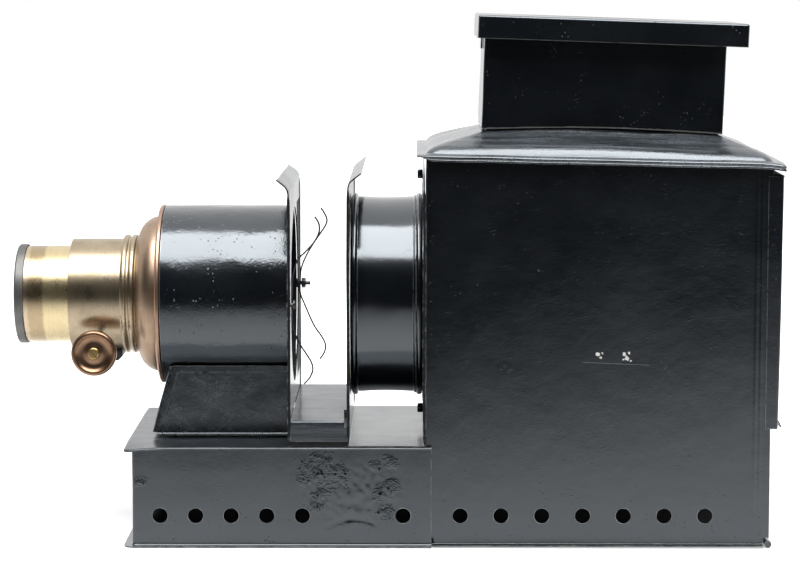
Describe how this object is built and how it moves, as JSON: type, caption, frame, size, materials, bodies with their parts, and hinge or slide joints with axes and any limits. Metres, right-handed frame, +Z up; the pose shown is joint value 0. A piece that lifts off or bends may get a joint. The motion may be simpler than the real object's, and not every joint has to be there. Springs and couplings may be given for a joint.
{
  "type": "magic lantern",
  "caption": "Tinplate magic lantern with an oil lamp, chimney, condenser drum, slide stage and rack-focused brass lens.",
  "frame": {"origin": "under the middle of the lantern, on the surface it stands on", "axes": "+X along the optical axis from the lens to the lamp door, +Y to the side with the door's hinges, +Z up"},
  "size_m": [0.4494, 0.152, 0.3067],
  "materials": {
    "japanned_tin": "worn black japan on tinplate, semi-gloss, chipped at the edges",
    "aged_brass": "brown-gold lacquered brass with turning lines",
    "yellow_brass": "bright yellow brass with a tarnished band",
    "copper_brown_brass": "copper-brown lacquered brass, satin",
    "inner_brass": "plain dull brass",
    "dark_ring": "dark grey oxidised metal, satin",
    "dark_steel": "darkened spring steel",
    "clear_glass": "clear polished glass",
    "silvered_plate": "polished silvered metal, slightly dull",
    "cotton_wick": "flat woven cotton"
  },
  "bodies": {
    "root": {"base_shell": "japanned_tin", "base_top": "japanned_tin", "house_wall_near": "japanned_tin", "house_wall_far": "japanned_tin", "house_front": "japanned_tin", "house_back": "japanned_tin", "back_sill": "japanned_tin", "roof": "japanned_tin", "chimney_collar": "japanned_tin", "condenser_cradle": "japanned_tin", "condenser_drum": "japanned_tin", "cradle_clip_top": "japanned_tin", "cradle_clip_bottom": "japanned_tin", "slide_rest": "japanned_tin", "rest_tab": "japanned_tin", "front_stage": "japanned_tin", "front_tube": "japanned_tin", "pedestal": "japanned_tin", "hinge_wall_lower": "japanned_tin", "hinge_wall_upper": "japanned_tin", "runner_near": "japanned_tin", "runner_far": "japanned_tin", "jacket": "aged_brass", "lens_flange": "copper_brown_brass", "bell": "copper_brown_brass", "pinion_box": "dark_ring", "condenser_cell": "inner_brass", "condenser_spacer": "inner_brass", "condenser_retainer": "inner_brass", "spring_near": "dark_steel", "spring_far": "dark_steel", "spring_screw_near": "dark_steel", "spring_screw_far": "dark_steel", "spring_nut_far": "dark_steel", "hinge_pin": "dark_steel", "condenser_lens_front": "clear_glass", "condenser_lens_back": "clear_glass"},
    "lens_barrel": {"lens_tube": "yellow_brass", "front_ring": "dark_ring", "front_lens": "clear_glass", "rear_cell": "inner_brass", "rear_lens": "clear_glass", "rack": "inner_brass"},
    "pinion_shaft": {"pinion": "dark_steel", "focus_knob": "copper_brown_brass", "knob_screw": "inner_brass"},
    "chimney_top": {"chimney": "japanned_tin", "chimney_cap": "japanned_tin", "cap_strap": "japanned_tin"},
    "lamp_door": {"door": "japanned_tin", "hinge_door_lower": "japanned_tin", "hinge_door_upper": "japanned_tin"},
    "oil_lamp": {"lamp_tray": "japanned_tin", "oil_tank": "japanned_tin", "filler_cap": "inner_brass", "burner": "inner_brass", "lamp_glass": "clear_glass", "reflector": "silvered_plate"},
    "wick_winder": {"wick_spindle": "inner_brass"},
    "wick_strip": {"wick": "cotton_wick"}
  },
  "joints": [
    {"name": "focus_slide", "type": "slide", "parent": "root", "child": "lens_barrel", "axis": [1, 0, 0], "range_m": [-0.02, 0.02]},
    {"name": "pinion_spin", "type": "hinge", "parent": "root", "child": "pinion_shaft", "pos_m": [-0.1762, 0, 0.10849], "axis": [0, 1, 0], "range_deg": [-400, 400]},
    {"name": "chimney_lift", "type": "slide", "parent": "root", "child": "chimney_top", "axis": [0.0349, 0, 0.9994], "range_m": [0, 0.03]},
    {"name": "door_hinge", "type": "hinge", "parent": "root", "child": "lamp_door", "pos_m": [0.2139, 0.0731, 0.142], "axis": [0, 0, 1], "range_deg": [0, 150]},
    {"name": "lamp_slide", "type": "slide", "parent": "root", "child": "oil_lamp", "axis": [1, 0, 0], "range_m": [-0.018, 0.012]},
    {"name": "wick_rise", "type": "slide", "parent": "oil_lamp", "child": "wick_strip", "axis": [0, 0, 1], "range_m": [-0.0033, 0.005]},
    {"name": "wick_turn", "type": "hinge", "parent": "oil_lamp", "child": "wick_winder", "pos_m": [0.102, -0.0044, 0.0862], "axis": [1, 0, 0], "range_deg": [-60, 90]}
  ],
  "couplings": [
    {"joint": "pinion_spin", "follows": "focus_slide", "rad_per_m": 327.25},
    {"joint": "wick_turn", "follows": "wick_rise", "rad_per_m": 312.5}
  ]
}
